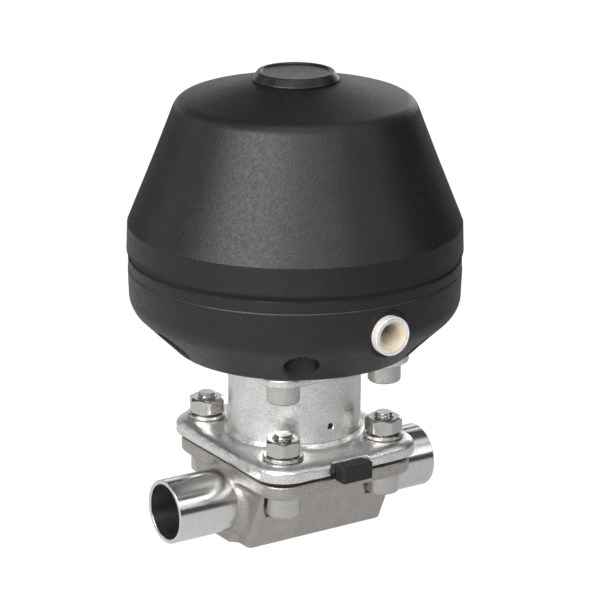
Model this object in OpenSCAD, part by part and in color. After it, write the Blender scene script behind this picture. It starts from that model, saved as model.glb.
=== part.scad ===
// Weir diaphragm valve with butt-weld ends, a cast distance piece and a
// spring-to-close membrane actuator. Origin: centre of the foot under the body.
// X runs along the pipe, -Y is the side with the air port, Z points up.

/* [Pipe ends] */
// Outside diameter of the tube ends
tube_od = 25.4; // [25:0.1:26]
// Wall thickness of the tube ends
tube_wall = 1.65; // [1.2:0.05:2]
// Length from weld end to weld end
face_to_face = 120; // [112:1:140]
// Height of the pipe axis above the foot
axis_h = 16.5; // [16:0.1:18]

/* [Bolting] */
// Bolt spacing along the pipe
bolt_pitch_x = 47; // [46:0.5:48]
// Bolt spacing across the pipe
bolt_pitch_y = 57; // [56:0.5:58]
// Thread diameter of the flange screws
screw_d = 8; // [7.6:0.1:8]
// Diameter and height of a cap screw head
head_d = 13; // [12.6:0.1:13]
head_h = 8; // [7.6:0.1:8]
// Width across the flats of the body nuts
nut_af = 13; // [12.6:0.1:13]
// Height of the body nuts
nut_h = 6.5; // [6:0.1:6.8]
// Turn of each body nut about its screw, in degrees
nut_turns = [58, 23, 40, 6]; // [0:1:60]

/* [Valve body] */
// Length of the forged block along the pipe
block_x = 63; // [62:0.5:64]
// Width of the foot face across the pipe
foot_y = 32; // [30:0.5:33]
// Thickness of the body flange
body_flange_t = 5.4; // [5:0.1:6]
// Height of the flange face above the foot
flange_face_z = 32.4; // [32.2:0.1:32.8]
// Corner radius of the body flange about its bolts
body_corner_r = 10.2; // [9.8:0.1:10.6]
// Radius of the spherical bowl that the diaphragm seals in
bowl_r = 20; // [19.8:0.1:20.2]
// Height of the weir crest above the pipe axis
crest_h = 5; // [4.5:0.1:5.5]

/* [Diaphragm] */
// Thickness of the clamped rim
rim_t = 2; // [1.8:0.1:2.2]
// Thickness of the flexing web
web_t = 2.2; // [2:0.1:2.4]
// Width of the grip tab
tab_w = 14; // [12:0.5:14]
// Height of the grip tab
tab_h = 6.8; // [6:0.1:7]

/* [Distance piece] */
// Thickness of the lower flange
bonnet_flange_t = 6.6; // [6.2:0.1:7]
// Corner radius of the lower flange about its bolts
bonnet_corner_r = 12.3; // [12:0.1:12.6]
// Outside diameter of the neck
neck_d = 52.7; // [52:0.1:53.4]
// Thickness of the upper flange
top_flange_t = 4; // [4:0.1:5]
// Corner radius of the upper flange about its bolts
top_corner_r = 9.6; // [9.2:0.1:9.8]
// Diameter of the leak detection hole
leak_d = 2.5; // [2:0.1:3]

/* [Actuator housings] */
// Height of the underside of the lower housing
housing_z = 76.2; // [76.2:0.1:76.6]
// Radius of the underside rim
rim_r = 47.4; // [47.2:0.1:47.8]
// Height and radius where the lower cone meets the band
band_z = 93.5; // [93:0.1:94]
band_r = 65; // [64.6:0.1:65.4]
// Height of the joint between the two housings
seam_z = 109; // [109:0.1:109.4]
// Radius of both housings at that joint
seam_r = 65.5; // [65.3:0.1:65.6]
// Largest radius, at the foot of the upper band
upper_band_foot_r = 65.9; // [65.8:0.1:66.2]
// Height and radius at the top of the upper band
upper_band_z = 127.4; // [127:0.1:128]
upper_band_r = 65.5; // [65.2:0.1:65.6]
// Height and radius of the dome shoulder
shoulder_z = 174.7; // [174:0.1:175]
shoulder_r = 46.3; // [46:0.1:46.6]
// Height of the dome under the cap
dome_z = 182.2; // [182:0.1:182.6]
// Number of screws that hold the housings together
housing_screw_count = 6; // [6:1:6]

/* [Stem and drive] */
// Diameter of the stem
stem_d = 12; // [12:0.1:12.2]
// Travel of the stem from shut to open
stem_travel = 9; // [7:0.5:9]
// Radius of the plates that clamp the membrane
plate_r = 38; // [37:0.5:38.5]
// Mean diameter and wire diameter of the outer spring
outer_spring_d = 62; // [60:1:63]
outer_wire_d = 6; // [5:0.5:6]
// Mean diameter and wire diameter of the inner spring
inner_spring_d = 40; // [38:1:42]
inner_wire_d = 4.5; // [4:0.5:5]

/* [Air port] */
// Height of the port above the foot
port_z = 97.4; // [97:0.1:98]
// Radius from the valve axis to the face of the port
port_reach = 68; // [67:0.5:69]
// Diameter of the boss that the port insert stands on
port_boss_d = 19; // [18:0.5:20]
// Outside diameter of the port insert
port_d = 16; // [15.6:0.1:16.4]
// Bore of the G1/8 thread
port_bore_d = 8.6; // [8.5:0.05:8.8]

/* [Hidden] */

$fn = 96;
cut = 0.5;
running_gap = 0.04;
body_gap = 0.3;
seat_gap = 0.05;

tube_r = tube_od / 2;
bore_r = tube_r - tube_wall;
half_len = face_to_face / 2;
bolt_xy = [for (corner = [[-1, -1], [1, -1], [1, 1], [-1, 1]])
    [corner[0] * bolt_pitch_x / 2, corner[1] * bolt_pitch_y / 2]];
screw_r = screw_d / 2;
head_r = head_d / 2;
clear_hole_r = screw_r + 0.5;
tapped_r = screw_r + seat_gap;

flange_under_z = flange_face_z - body_flange_t;
spot_face_z = flange_under_z - 1.2;
spot_face_r = head_r + 1.5;
bowl_z = axis_h + crest_h + bowl_r;
bowl_mouth_r = sqrt(bowl_r * bowl_r - pow(bowl_z - flange_face_z, 2));
riser_base_x = 20;
riser_top_x = 15;
neck_end_x = 34.2;
keel_y = 6;

rim_top_z = flange_face_z + rim_t;
bonnet_top_z = rim_top_z + bonnet_flange_t;
neck_r = neck_d / 2;
top_flange_z = housing_z - top_flange_t;
chamber_r = 20.5;
chamber_top_z = 62;
spigot_r = 15;
spigot_h = 3.2;
stem_r = stem_d / 2;
bushing_r = 9;
bushing_z = chamber_top_z + 2;
leak_z = 48.6;
flange_round = 2.4;
flange_inset = 3;
notch_half_w = tab_w / 2 + 1;
notch_y = bolt_pitch_y / 2 + bonnet_corner_r - 1.4;

washer_t = 1.6;
washer_r = 8;
nut_z = bonnet_top_z + washer_t;
screw_tip_z = nut_z + nut_h + 1.9;

web_r = bowl_r - body_gap;
web_inner_r = web_r - web_t;
web_low_z = bowl_z - web_r;
web_top_z = web_low_z + web_t;
pad_r = web_inner_r - body_gap;
compressor_top_z = 44;
compressor_pin_z = 41;
pin_r = 2;
stud_r = 3;
stem_low_z = 35.5;

floor_t = 4;
floor_z = housing_z + floor_t;
chamber_wall_r = 44.5;
clamp_wall_r = 51.5;
shell_inner_r = 61.3;
bead_in_r = 47;
bead_out_r = 50;
bead_half = 2;
screw_ring_r = 54.8;
pocket_r = 6.6;
pocket_top_z = 98;
boss_r = 8.2;
first_screw_angle = -120;
seal_boss_r = 15;
seal_boss_z = 92;
wiper_z = 88.5;
wiper_r = 9.6;
seal_z = 84.6;
seal_ring_r = 1.5;
seal_groove_r = stem_r + 2 * seal_ring_r + seat_gap;
insert_r = 6;
insert_top_z = 91;

web_ceiling_z = 122;
deck_z = 126;
ceiling_z = 177.4;
seat_z = 166;
seat_t = 2;
cap_bore_r = 12.6;
cap_r = 17;

membrane_t = 2;
membrane_z = 102.5;
plate_t = 3;
stem_shoulder_z = 97;
thread_r = 5;
upper_plate_z = membrane_z + membrane_t;
upper_plate_t = 2.5;
stem_washer_z = upper_plate_z + upper_plate_t;
stem_nut_z = stem_washer_z + 2;
stem_nut_h = 8;
stem_nut_af = 16;
stem_top_z = stem_nut_z + stem_nut_h + 2;
spring_z = upper_plate_z + upper_plate_t;
rod_r = 4;
rod_top_z = dome_z - stem_travel - 2.2;

housing_screw_r = 3;
insert_bore_r = housing_screw_r + seat_gap;
housing_insert_r = 4.5;
port_face_y = port_reach - 3.5;
port_gasket_t = 0.8;
port_neck_r = 6.6;
port_end_y = port_reach - 15;
air_way_r = 3;

// A flat outline with round corners about the four bolts.
module flange_outline(corner_r) {
    square([bolt_pitch_x, bolt_pitch_y + 2 * corner_r], center = true);
    square([bolt_pitch_x + 2 * corner_r, bolt_pitch_y], center = true);
    at_bolts() circle(corner_r);
}

// Places its children on the four flange bolts.
module at_bolts() {
    for (p = bolt_xy) translate(p) children();
}

// Places its children on the ring of housing screws.
module at_housing_screws() {
    for (i = [0 : housing_screw_count - 1])
        rotate(first_screw_angle + i * 360 / housing_screw_count)
            translate([screw_ring_r, 0]) children();
}

// A hollow ring, given by its two radii and its two heights.
module ring(inner_r, outer_r, low_z, high_z) {
    rotate_extrude()
        translate([inner_r, low_z]) square([outer_r - inner_r, high_z - low_z]);
}

// A round rod between two heights.
module rod(r, low_z, high_z) {
    translate([0, 0, low_z]) cylinder(r = r, h = high_z - low_z);
}

// A rubber ring of round section.
module o_ring(mean_r, section_r, z) {
    translate([0, 0, z]) rotate_extrude() translate([mean_r, 0]) circle(section_r, $fn = 32);
}

// A rod along the pipe between two places.
module pipe_rod(r, low_x, high_x) {
    translate([low_x, 0, axis_h]) rotate([0, 90, 0]) cylinder(r = r, h = high_x - low_x);
}

// A rod that points from the port face towards the valve axis.
module port_rod(r, from_y, to_y) {
    translate([0, -from_y, port_z]) rotate([-90, 0, 0]) cylinder(r = r, h = from_y - to_y);
}

// Half of the flow way: a level bore, a round bend and a riser into the bowl.
module flow_way() {
    bend = [riser_base_x, 0, axis_h];
    rise = flange_face_z - axis_h;
    lean = atan2(riser_top_x - riser_base_x, rise);
    pipe_rod(bore_r, riser_base_x, half_len + cut);
    translate(bend) sphere(bore_r);
    intersection() {
        translate(bend) rotate([0, lean, 0]) cylinder(r = bore_r, h = rise + bore_r);
        rod(bowl_mouth_r, axis_h, flange_face_z + cut);
    }
}

module block() {
    half_foot = foot_y / 2;
    waist_z = 11.5;
    waist_y = 21.3;
    top_y = 28.8;
    rotate([90, 0, 90]) translate([0, 0, -block_x / 2]) linear_extrude(block_x)
        polygon([[-half_foot, 0], [half_foot, 0], [waist_y, waist_z], [top_y, flange_under_z + cut],
            [-top_y, flange_under_z + cut], [-waist_y, waist_z]]);
}

// The smooth transition from the tubes to the block, with its flat keel.
module block_ends() {
    collar_r = tube_r + 0.5;
    cheek_y = 11.2;
    cheek_z = axis_h / 2;
    rotate([90, 0, 90]) translate([0, 0, -neck_end_x]) linear_extrude(2 * neck_end_x) {
        translate([0, axis_h]) circle(collar_r);
        polygon([[-keel_y, 0], [keel_y, 0], [cheek_y, cheek_z], [-cheek_y, cheek_z]]);
    }
}

module valve_body() {
    pocket_r = head_r + 0.7;
    color("silver") difference() {
        union() {
            block();
            block_ends();
            pipe_rod(tube_r, -half_len, half_len);
            translate([0, 0, flange_under_z]) linear_extrude(body_flange_t) flange_outline(body_corner_r);
            at_bolts() rod(spot_face_r, spot_face_z, flange_face_z);
        }
        flow_way();
        mirror([1, 0, 0]) flow_way();
        intersection() {
            translate([0, 0, bowl_z]) sphere(bowl_r);
            rod(bowl_mouth_r + 1, axis_h, flange_face_z + cut);
        }
        at_bolts() rod(clear_hole_r, spot_face_z - cut, flange_face_z + cut);
        at_bolts() rod(pocket_r, axis_h, spot_face_z);
    }
}

// The grip tab stands outside the flanges and is joined to the rim under the bonnet.
module tab() {
    tab_low_z = flange_face_z - 0.4;
    tab_front_y = bolt_pitch_y / 2 + bonnet_corner_r + 5.4;
    tab_back_y = notch_y + body_gap;
    body_side_y = bolt_pitch_y / 2 + body_corner_r;
    translate([-tab_w / 2, -tab_front_y, tab_low_z])
        cube([tab_w, tab_front_y - tab_back_y, tab_h]);
    translate([-tab_w / 2, -tab_back_y - cut, flange_face_z])
        cube([tab_w, tab_back_y + 2 * cut - body_side_y + 1, rim_t]);
}

module valve_diaphragm() {
    rim_corner_r = body_corner_r - 0.3;
    color("#202022") {
        difference() {
            union() {
                difference() {
                    translate([0, 0, flange_face_z]) linear_extrude(rim_t) flange_outline(rim_corner_r);
                    translate([0, 0, bowl_z]) sphere(web_inner_r + 0.01);
                }
                intersection() {
                    translate([0, 0, bowl_z]) sphere(web_r);
                    rod(bowl_mouth_r - body_gap, axis_h, rim_top_z);
                }
            }
            translate([0, 0, bowl_z]) sphere(web_inner_r);
            at_bolts() rod(clear_hole_r, flange_face_z - cut, rim_top_z + cut);
        }
        tab();
    }
}

// The moulded stud that ties the diaphragm to the compressor.
module diaphragm_stud() {
    stud_top_z = 32;
    color("silver") rod(stud_r, web_top_z + body_gap, stud_top_z);
}

module compressor() {
    disc_r = 16.4;
    disc_top_z = 37;
    boss_r = 9;
    color("gainsboro") difference() {
        union() {
            intersection() {
                translate([0, 0, bowl_z]) sphere(pad_r);
                rod(disc_r, axis_h, disc_top_z);
            }
            rod(boss_r, disc_top_z - cut, compressor_top_z);
        }
        rod(stud_r + seat_gap, axis_h, stem_low_z);
        rod(stem_r + seat_gap, stem_low_z, compressor_top_z + cut);
        pin_hole();
    }
}

// The cross hole of the compressor pin.
module pin_hole() {
    reach = 9;
    translate([0, 0, compressor_pin_z]) rotate([90, 0, 0])
        cylinder(r = pin_r + seat_gap, h = 2 * reach + cut, center = true);
}

module compressor_pin() {
    pin_len = 17;
    color("silver") translate([0, 0, compressor_pin_z]) rotate([90, 0, 0])
        cylinder(r = pin_r, h = pin_len, center = true);
}

module stem() {
    color("silver") difference() {
        union() {
            rod(stem_r, stem_low_z + seat_gap, stem_shoulder_z);
            rod(thread_r, stem_shoulder_z, stem_top_z);
        }
        pin_hole();
    }
}

// The lower flange has a rounded upper edge, kept here as one bevel.
module bonnet_flange() {
    edge_t = 0.1;
    side_h = bonnet_flange_t - flange_round;
    translate([0, 0, rim_top_z]) linear_extrude(side_h) flange_outline(bonnet_corner_r);
    hull() {
        for (p = bolt_xy) translate([p[0], p[1], rim_top_z + side_h - edge_t])
            cylinder(r = bonnet_corner_r, h = edge_t, $fn = 32);
        for (p = bolt_xy) translate([p[0], p[1], bonnet_top_z - edge_t])
            cylinder(r = bonnet_corner_r - flange_inset, h = edge_t, $fn = 32);
    }
}

// The opening in the lower flange that the grip tab stands in.
module tab_notch() {
    depth = 6;
    bevel = 1.4;
    translate([0, 0, rim_top_z - cut]) linear_extrude(bonnet_flange_t + 2 * cut)
        polygon([[-notch_half_w, -notch_y], [notch_half_w, -notch_y],
            [notch_half_w + bevel, -notch_y - bevel], [notch_half_w + bevel, -notch_y - depth],
            [-notch_half_w - bevel, -notch_y - depth], [-notch_half_w - bevel, -notch_y - bevel]]);
}

module bonnet() {
    foot_round = 2.4;
    color("gainsboro") difference() {
        union() {
            bonnet_flange();
            rod(neck_r, bonnet_top_z - cut, housing_z);
            rotate_extrude() difference() {
                translate([neck_r - cut, bonnet_top_z - cut]) square(foot_round + cut);
                translate([neck_r + foot_round, bonnet_top_z + foot_round]) circle(foot_round);
            }
            translate([0, 0, top_flange_z]) linear_extrude(top_flange_t) flange_outline(top_corner_r);
            rod(spigot_r, housing_z, housing_z + spigot_h);
        }
        rod(chamber_r, rim_top_z - cut, chamber_top_z);
        rod(stem_r + 0.5, chamber_top_z - cut, bushing_z + cut);
        rod(bushing_r, bushing_z, housing_z + spigot_h + cut);
        at_bolts() rod(clear_hole_r, rim_top_z - cut, bonnet_top_z + cut);
        at_bolts() rod(clear_hole_r, top_flange_z - cut, housing_z + cut);
        translate([0, 0, leak_z]) rotate([90, 0, 0]) cylinder(r = leak_d / 2, h = neck_r + cut, $fn = 32);
        tab_notch();
    }
}

// A cap screw with its head down and a hexagon socket in the head.
module cap_screw(shank_r, socket_af, head_r, head_h, under_z, tip_z) {
    socket_r = socket_af / sqrt(3);
    difference() {
        rod(head_r, under_z - head_h, under_z);
        translate([0, 0, under_z - head_h - cut]) cylinder(r = socket_r, h = head_h / 2 + cut, $fn = 6);
    }
    rod(shank_r, under_z, tip_z);
}

module body_screws() {
    color("silver") at_bolts() cap_screw(screw_r, 6, head_r, head_h, spot_face_z, screw_tip_z);
}

module body_washers() {
    color("silver") at_bolts() ring(screw_r + 0.3, washer_r, bonnet_top_z, nut_z);
}

// A plain hexagon nut.
module hex_nut(across_flats, bore_r, low_z, h) {
    difference() {
        translate([0, 0, low_z]) cylinder(r = across_flats / sqrt(3), h = h, $fn = 6);
        rod(bore_r, low_z - cut, low_z + h + cut);
    }
}

module body_nuts() {
    color("silver") for (i = [0 : len(bolt_xy) - 1])
        translate(bolt_xy[i]) rotate(nut_turns[i]) hex_nut(nut_af, tapped_r, nut_z, nut_h);
}

module actuator_screws() {
    tip_z = 89;
    color("silver") at_bolts() cap_screw(screw_r, 6, head_r, head_h, top_flange_z, tip_z);
}

module actuator_inserts() {
    color("goldenrod") at_bolts() ring(tapped_r, insert_r, housing_z, insert_top_z);
}

module stem_bushing() {
    color("ivory") ring(stem_r + running_gap, bushing_r, bushing_z, housing_z);
}

module stem_seal() {
    color("#202022") o_ring(stem_r + running_gap + seal_ring_r, seal_ring_r, seal_z);
}

module stem_wiper() {
    color("#202022") ring(stem_r + running_gap, wiper_r, wiper_z, seal_boss_z);
}

module bonnet_seal() {
    seal_r = 1;
    color("#202022") o_ring(spigot_r + seal_r + seat_gap, seal_r, housing_z + seal_r + seat_gap);
}

// Section of the lower housing, from its cone to the membrane seat and the floor.
module lower_section() {
    lip_z = seam_z - 3.1;
    polygon([[rim_r, housing_z], [band_r, band_z], [seam_r, seam_z], [bead_out_r, seam_z],
        [bead_out_r, seam_z - bead_half], [bead_in_r, seam_z - bead_half], [chamber_wall_r, lip_z],
        [chamber_wall_r, floor_z], [0, floor_z], [0, housing_z]]);
}

module lower_housing() {
    groove_floor_z = 87;
    groove_shell_z = 97;
    stem_way_r = stem_r + 0.5;
    insert_boss_r = 8.5;
    passage_end = chamber_wall_r - 3;
    color("#2a2b2d") difference() {
        union() {
            difference() {
                rotate_extrude() lower_section();
                difference() {
                    rotate_extrude() polygon([[clamp_wall_r, seam_z + cut], [shell_inner_r, seam_z + cut],
                        [shell_inner_r, groove_shell_z], [clamp_wall_r, groove_floor_z]]);
                    at_housing_screws() rod(boss_r, groove_floor_z - cut, seam_z);
                }
            }
            intersection() {
                at_bolts() rod(insert_boss_r, housing_z + 1, insert_top_z + 1.5);
                rod(chamber_wall_r + 1, housing_z, insert_top_z + 1.5);
            }
            rod(seal_boss_r, floor_z - cut, seal_boss_z);
            difference() {
                port_rod(port_boss_d / 2, port_face_y, chamber_wall_r + 1);
                rod(chamber_wall_r, housing_z, seam_z);
            }
        }
        port_rod(port_boss_d / 2, port_reach + cut, port_face_y);
        at_housing_screws() rod(pocket_r, housing_z - cut, pocket_top_z);
        at_housing_screws() rod(housing_screw_r + 0.3, pocket_top_z - cut, seam_z + cut);
        at_bolts() rod(insert_r, housing_z - cut, insert_top_z);
        rod(stem_way_r, housing_z - cut, seal_boss_z + cut);
        rod(spigot_r + seat_gap, housing_z - cut, housing_z + spigot_h + seat_gap);
        ring(spigot_r, spigot_r + 2.2, housing_z - cut, housing_z + 2.2);
        ring(stem_r, seal_groove_r, seal_z - seal_ring_r - seat_gap, seal_z + seal_ring_r + seat_gap);
        rod(wiper_r, wiper_z, seal_boss_z + cut);
        port_rod(port_neck_r, port_face_y + cut, port_end_y);
        port_rod(air_way_r, port_end_y + cut, passage_end);
    }
}

// Section of the upper housing, from the seam over the sloping wall to the cap bore.
module upper_section() {
    lip_h = 4.3;
    band_foot_h = 6;
    waist_z = 152.2;
    waist_r = 55;
    wall = 4.3;
    lip_z = seam_z + 3.1;
    polygon([[seam_r, seam_z], [seam_r, seam_z + lip_h], [upper_band_foot_r, seam_z + band_foot_h],
        [upper_band_r, upper_band_z],
        [waist_r, waist_z], [shoulder_r, shoulder_z], [cap_r, dome_z], [cap_bore_r, dome_z],
        [cap_bore_r, ceiling_z - 4], [cap_r, ceiling_z - 4], [cap_r, ceiling_z],
        [shoulder_r - wall, shoulder_z - wall], [waist_r - wall, waist_z - 1],
        [upper_band_r - wall, deck_z], [chamber_wall_r, deck_z], [chamber_wall_r, lip_z],
        [bead_in_r, seam_z + bead_half], [bead_out_r, seam_z + bead_half], [bead_out_r, seam_z]]);
}

module upper_housing() {
    rib_t = 2.2;
    color("#222325") difference() {
        union() {
            difference() {
                rotate_extrude() upper_section();
                difference() {
                    ring(clamp_wall_r, shell_inner_r, seam_z - cut, web_ceiling_z);
                    at_housing_screws() rod(boss_r, seam_z, web_ceiling_z + cut);
                }
            }
            ring(plate_r - rib_t, plate_r, seat_z + seat_t, ceiling_z - 3.5);
            ring(cap_r + 2, cap_r + 2 + rib_t, seat_z + seat_t, ceiling_z + 1);
        }
        at_housing_screws() rod(housing_insert_r, seam_z - cut, web_ceiling_z);
    }
}

// The rolling membrane, with its bead in the seam and its centre between the plates.
module actuator_membrane() {
    fold_r = plate_r + 1.2;
    color("#26221f") rotate_extrude() union() {
        polygon([[thread_r + seat_gap, membrane_z], [fold_r, membrane_z],
            [bead_in_r, seam_z - 0.9], [bead_in_r + cut, seam_z - 0.9], [bead_in_r + cut, seam_z + 0.9],
            [bead_in_r, seam_z + 0.9], [fold_r - 0.8, membrane_z + membrane_t],
            [thread_r + seat_gap, membrane_z + membrane_t]]);
        translate([bead_in_r, seam_z - bead_half]) square([bead_out_r - bead_in_r, 2 * bead_half]);
    }
}

module lower_plate() {
    hub_r = 11;
    color("silver") {
        ring(thread_r + seat_gap, hub_r, stem_shoulder_z, membrane_z);
        ring(hub_r, plate_r, membrane_z - plate_t, membrane_z);
    }
}

module upper_plate() {
    rim_w = 2;
    rim_top_z = spring_z + 3;
    color("silver") {
        ring(thread_r + seat_gap, plate_r, upper_plate_z, spring_z);
        ring(plate_r - rim_w, plate_r, spring_z, rim_top_z);
    }
}

module stem_washer() {
    color("silver") ring(thread_r + seat_gap, 10.5, stem_washer_z, stem_nut_z);
}

module stem_nut() {
    color("silver") hex_nut(stem_nut_af, thread_r + seat_gap, stem_nut_z, stem_nut_h);
}

// Height of a spring's wire centre after a share of its turns, with closed ends.
function coil_z(share, turns, wire_d, low_z, high_z) =
    let (closed = 1 / turns, pitch = wire_d * 1.02, low = low_z + wire_d / 2, high = high_z - wire_d / 2)
    share < closed ? low + pitch * share / closed
    : share > 1 - closed ? high - pitch * (1 - share) / closed
    : low + pitch + (high - low - 2 * pitch) * (share - closed) / (1 - 2 * closed);

// A round-wire compression spring as one swept tube.
module coil_spring(mean_d, wire_d, turns, low_z, high_z) {
    rings_per_turn = 20;
    sides = 8;
    last = turns * rings_per_turn;
    points = [for (i = [0 : last], k = [0 : sides - 1])
        let (turn = 360 * i / rings_per_turn, side = 360 * k / sides,
            r = mean_d / 2 + wire_d / 2 * cos(side))
        [r * cos(turn), r * sin(turn),
            coil_z(i / last, turns, wire_d, low_z, high_z) + wire_d / 2 * sin(side)]];
    walls = [for (i = [0 : last - 1], k = [0 : sides - 1])
        let (next = (k + 1) % sides)
        [i * sides + k, i * sides + next, (i + 1) * sides + next, (i + 1) * sides + k]];
    start = [for (k = [0 : sides - 1]) sides - 1 - k];
    end = [for (k = [0 : sides - 1]) last * sides + k];
    polyhedron(points, concat([start], walls, [end]));
}

module outer_spring() {
    color("steelblue") coil_spring(outer_spring_d, outer_wire_d, 6, spring_z, seat_z);
}

module inner_spring() {
    color("slategray") coil_spring(inner_spring_d, inner_wire_d, 7, spring_z, seat_z);
}

module spring_seat() {
    color("silver") ring(15, plate_r, seat_z, seat_z + seat_t);
}

module housing_screws() {
    tip_z = 119;
    color("silver") at_housing_screws() cap_screw(housing_screw_r, 5, 5, 6, pocket_top_z, tip_z);
}

module housing_inserts() {
    color("goldenrod") at_housing_screws() ring(insert_bore_r, housing_insert_r, seam_z, 120);
}

module air_port_insert() {
    color("linen") difference() {
        union() {
            port_rod(port_d / 2, port_reach, port_face_y + port_gasket_t);
            port_rod(port_neck_r, port_face_y + port_gasket_t + cut, port_end_y);
        }
        port_rod(port_bore_d / 2, port_reach + cut, port_end_y - cut);
    }
}

// The flat gasket between the port boss and the collar of its insert.
module air_port_seal() {
    gasket_r = port_d / 2 - 0.1;
    color("tan") difference() {
        port_rod(gasket_r, port_face_y + port_gasket_t, port_face_y);
        port_rod(port_neck_r, port_reach, port_face_y - cut);
    }
}

// The position indicator, screwed on the end of the stem.
module indicator_rod() {
    collar_r = 6.5;
    color("orangered") {
        rod(rod_r, stem_top_z, rod_top_z);
        rod(collar_r, stem_top_z, stem_top_z + 6);
    }
}

module top_cap() {
    top_r = 14.7;
    top_z = dome_z + 3.6;
    dish_r = 13.4;
    plug_r = cap_bore_r - body_gap;
    plug_z = dome_z - 6.4;
    hollow_r = 9;
    color("#1d1e20") difference() {
        rotate_extrude() polygon([[0, plug_z], [plug_r, plug_z], [plug_r, dome_z], [cap_r, dome_z],
            [top_r, top_z], [dish_r + 0.4, top_z], [dish_r, top_z - 0.5], [0, top_z - 0.5]]);
        rod(hollow_r, plug_z - cut, dome_z + 0.6);
        ring(plug_r - 1.3, plug_r + cut, dome_z - 4.2, dome_z - 2.6);
    }
}

module cap_seal() {
    section_r = 0.74;
    color("#202022") o_ring(cap_bore_r - section_r - seat_gap, section_r, dome_z - 3.4);
}

valve_body();
valve_diaphragm();
diaphragm_stud();
compressor();
compressor_pin();
stem();
bonnet();
body_screws();
body_washers();
body_nuts();
actuator_screws();
actuator_inserts();
stem_bushing();
stem_seal();
stem_wiper();
bonnet_seal();
lower_housing();
upper_housing();
actuator_membrane();
lower_plate();
upper_plate();
stem_washer();
stem_nut();
outer_spring();
inner_spring();
spring_seat();
housing_screws();
housing_inserts();
air_port_insert();
air_port_seal();
indicator_rod();
top_cap();
cap_seal();
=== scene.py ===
import math

import bmesh
import bpy
import numpy as np
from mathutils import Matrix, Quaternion, Vector

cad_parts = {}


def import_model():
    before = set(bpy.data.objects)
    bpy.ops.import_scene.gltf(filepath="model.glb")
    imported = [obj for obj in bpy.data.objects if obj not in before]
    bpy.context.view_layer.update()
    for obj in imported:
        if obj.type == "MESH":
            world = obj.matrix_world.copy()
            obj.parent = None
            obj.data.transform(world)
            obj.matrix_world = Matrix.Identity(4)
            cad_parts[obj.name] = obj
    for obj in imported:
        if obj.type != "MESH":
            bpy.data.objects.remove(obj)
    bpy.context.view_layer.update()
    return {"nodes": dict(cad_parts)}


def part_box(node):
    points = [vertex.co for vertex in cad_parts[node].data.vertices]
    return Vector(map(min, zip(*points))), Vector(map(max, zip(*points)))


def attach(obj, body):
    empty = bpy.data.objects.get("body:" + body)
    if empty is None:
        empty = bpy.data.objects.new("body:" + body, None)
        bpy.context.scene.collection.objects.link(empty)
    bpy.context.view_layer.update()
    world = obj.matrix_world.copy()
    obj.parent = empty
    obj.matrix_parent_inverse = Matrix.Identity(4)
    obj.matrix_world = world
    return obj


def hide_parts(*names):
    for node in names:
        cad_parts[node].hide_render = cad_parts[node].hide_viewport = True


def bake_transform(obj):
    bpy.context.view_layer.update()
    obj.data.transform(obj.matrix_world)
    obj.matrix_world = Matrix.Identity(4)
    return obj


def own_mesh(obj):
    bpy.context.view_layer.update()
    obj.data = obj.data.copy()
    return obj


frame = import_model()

# Visual model of a diaphragm valve with a domed membrane actuator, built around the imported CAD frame.
# Shapes are worked out in millimetres, with the pipe along X, the air port on -Y and the stem along Z.
MM = 0.001
TURN = 2 * math.pi
ARC_STEP = math.pi / 14


def low(node, axis):
    """Lowest place of a CAD node along an axis, in millimetres."""
    return round(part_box(node)[0][axis] / MM, 2)


def high(node, axis):
    """Highest place of a CAD node along an axis, in millimetres."""
    return round(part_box(node)[1][axis] / MM, 2)


def node_box(node):
    """Lowest and highest corner of a CAD node, in millimetres."""
    lowest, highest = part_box(node)
    return np.array(lowest) / MM, np.array(highest) / MM


# Places taken from the CAD frame.
HALF_LEN = high("valve_body", 0)
FLANGE_FACE_Z = high("valve_body", 2)
RIM_TOP_Z = low("bonnet", 2)
BONNET_TOP_Z = low("body_washers", 2)
WASHER_R = 8.0
BOLT_X = high("body_washers", 0) - WASHER_R
BOLT_Y = high("body_washers", 1) - WASHER_R
HOUSING_Z = low("lower_housing", 2)
SEAM_Z = high("lower_housing", 2)
DOME_Z = high("upper_housing", 2)
BAND_R = high("upper_housing", 0)
PORT_FACE = -low("air_port_insert", 1)
PORT_END = -high("air_port_insert", 1)
PORT_Z = (high("air_port_insert", 2) + low("air_port_insert", 2)) / 2

# Sizes shared by several pieces.
AXIS_H = 16.5
TUBE_R = 12.7
BORE_R = 11.05
BODY_CORNER_R = high("valve_body", 1) - BOLT_Y
BONNET_CORNER_R = high("bonnet", 1) - BOLT_Y
BODY_FLANGE_T = 5.4
NECK_R = 26.35
COLLAR_END_X = 34.2
SCREW_R = 4.0
HEAD_R = 6.5
HEAD_H = 8
SOCKET_AF = 6
NUT_AF = 13
THREAD_PITCH = 1.25
SCREW_RING_R = 54.8
FIRST_SCREW_ANGLE = -120.0
NUT_TURNS = (58, 23, 40, 6)
BOWL_Z = 41.5
BOWL_R = 20.0
BOWL_MOUTH_R = math.sqrt(BOWL_R ** 2 - (BOWL_Z - FLANGE_FACE_Z) ** 2)
NOTCH_Y = 39.4
NOTCH_HALF = 8.0
TAB_HALF = 7.0
CHAMBER_R = 44.5
GROOVE_IN, GROOVE_OUT = 51.5, 61.3


# ---- distance fields

def join(a, b, r):
    """Union of two distance fields with a concave fillet between them."""
    return np.maximum(r, np.minimum(a, b)) - np.hypot(np.maximum(r - a, 0), np.maximum(r - b, 0))


def common(a, b, r):
    """Intersection of two distance fields with a rounded edge."""
    return np.minimum(-r, np.maximum(a, b)) + np.hypot(np.maximum(r + a, 0), np.maximum(r + b, 0))


def carve(a, b, r):
    """Field a with field b cut away and the edge rounded."""
    return common(a, -b, r)


def slab(v, bottom, top):
    return np.maximum(bottom - v, v - top)


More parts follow.
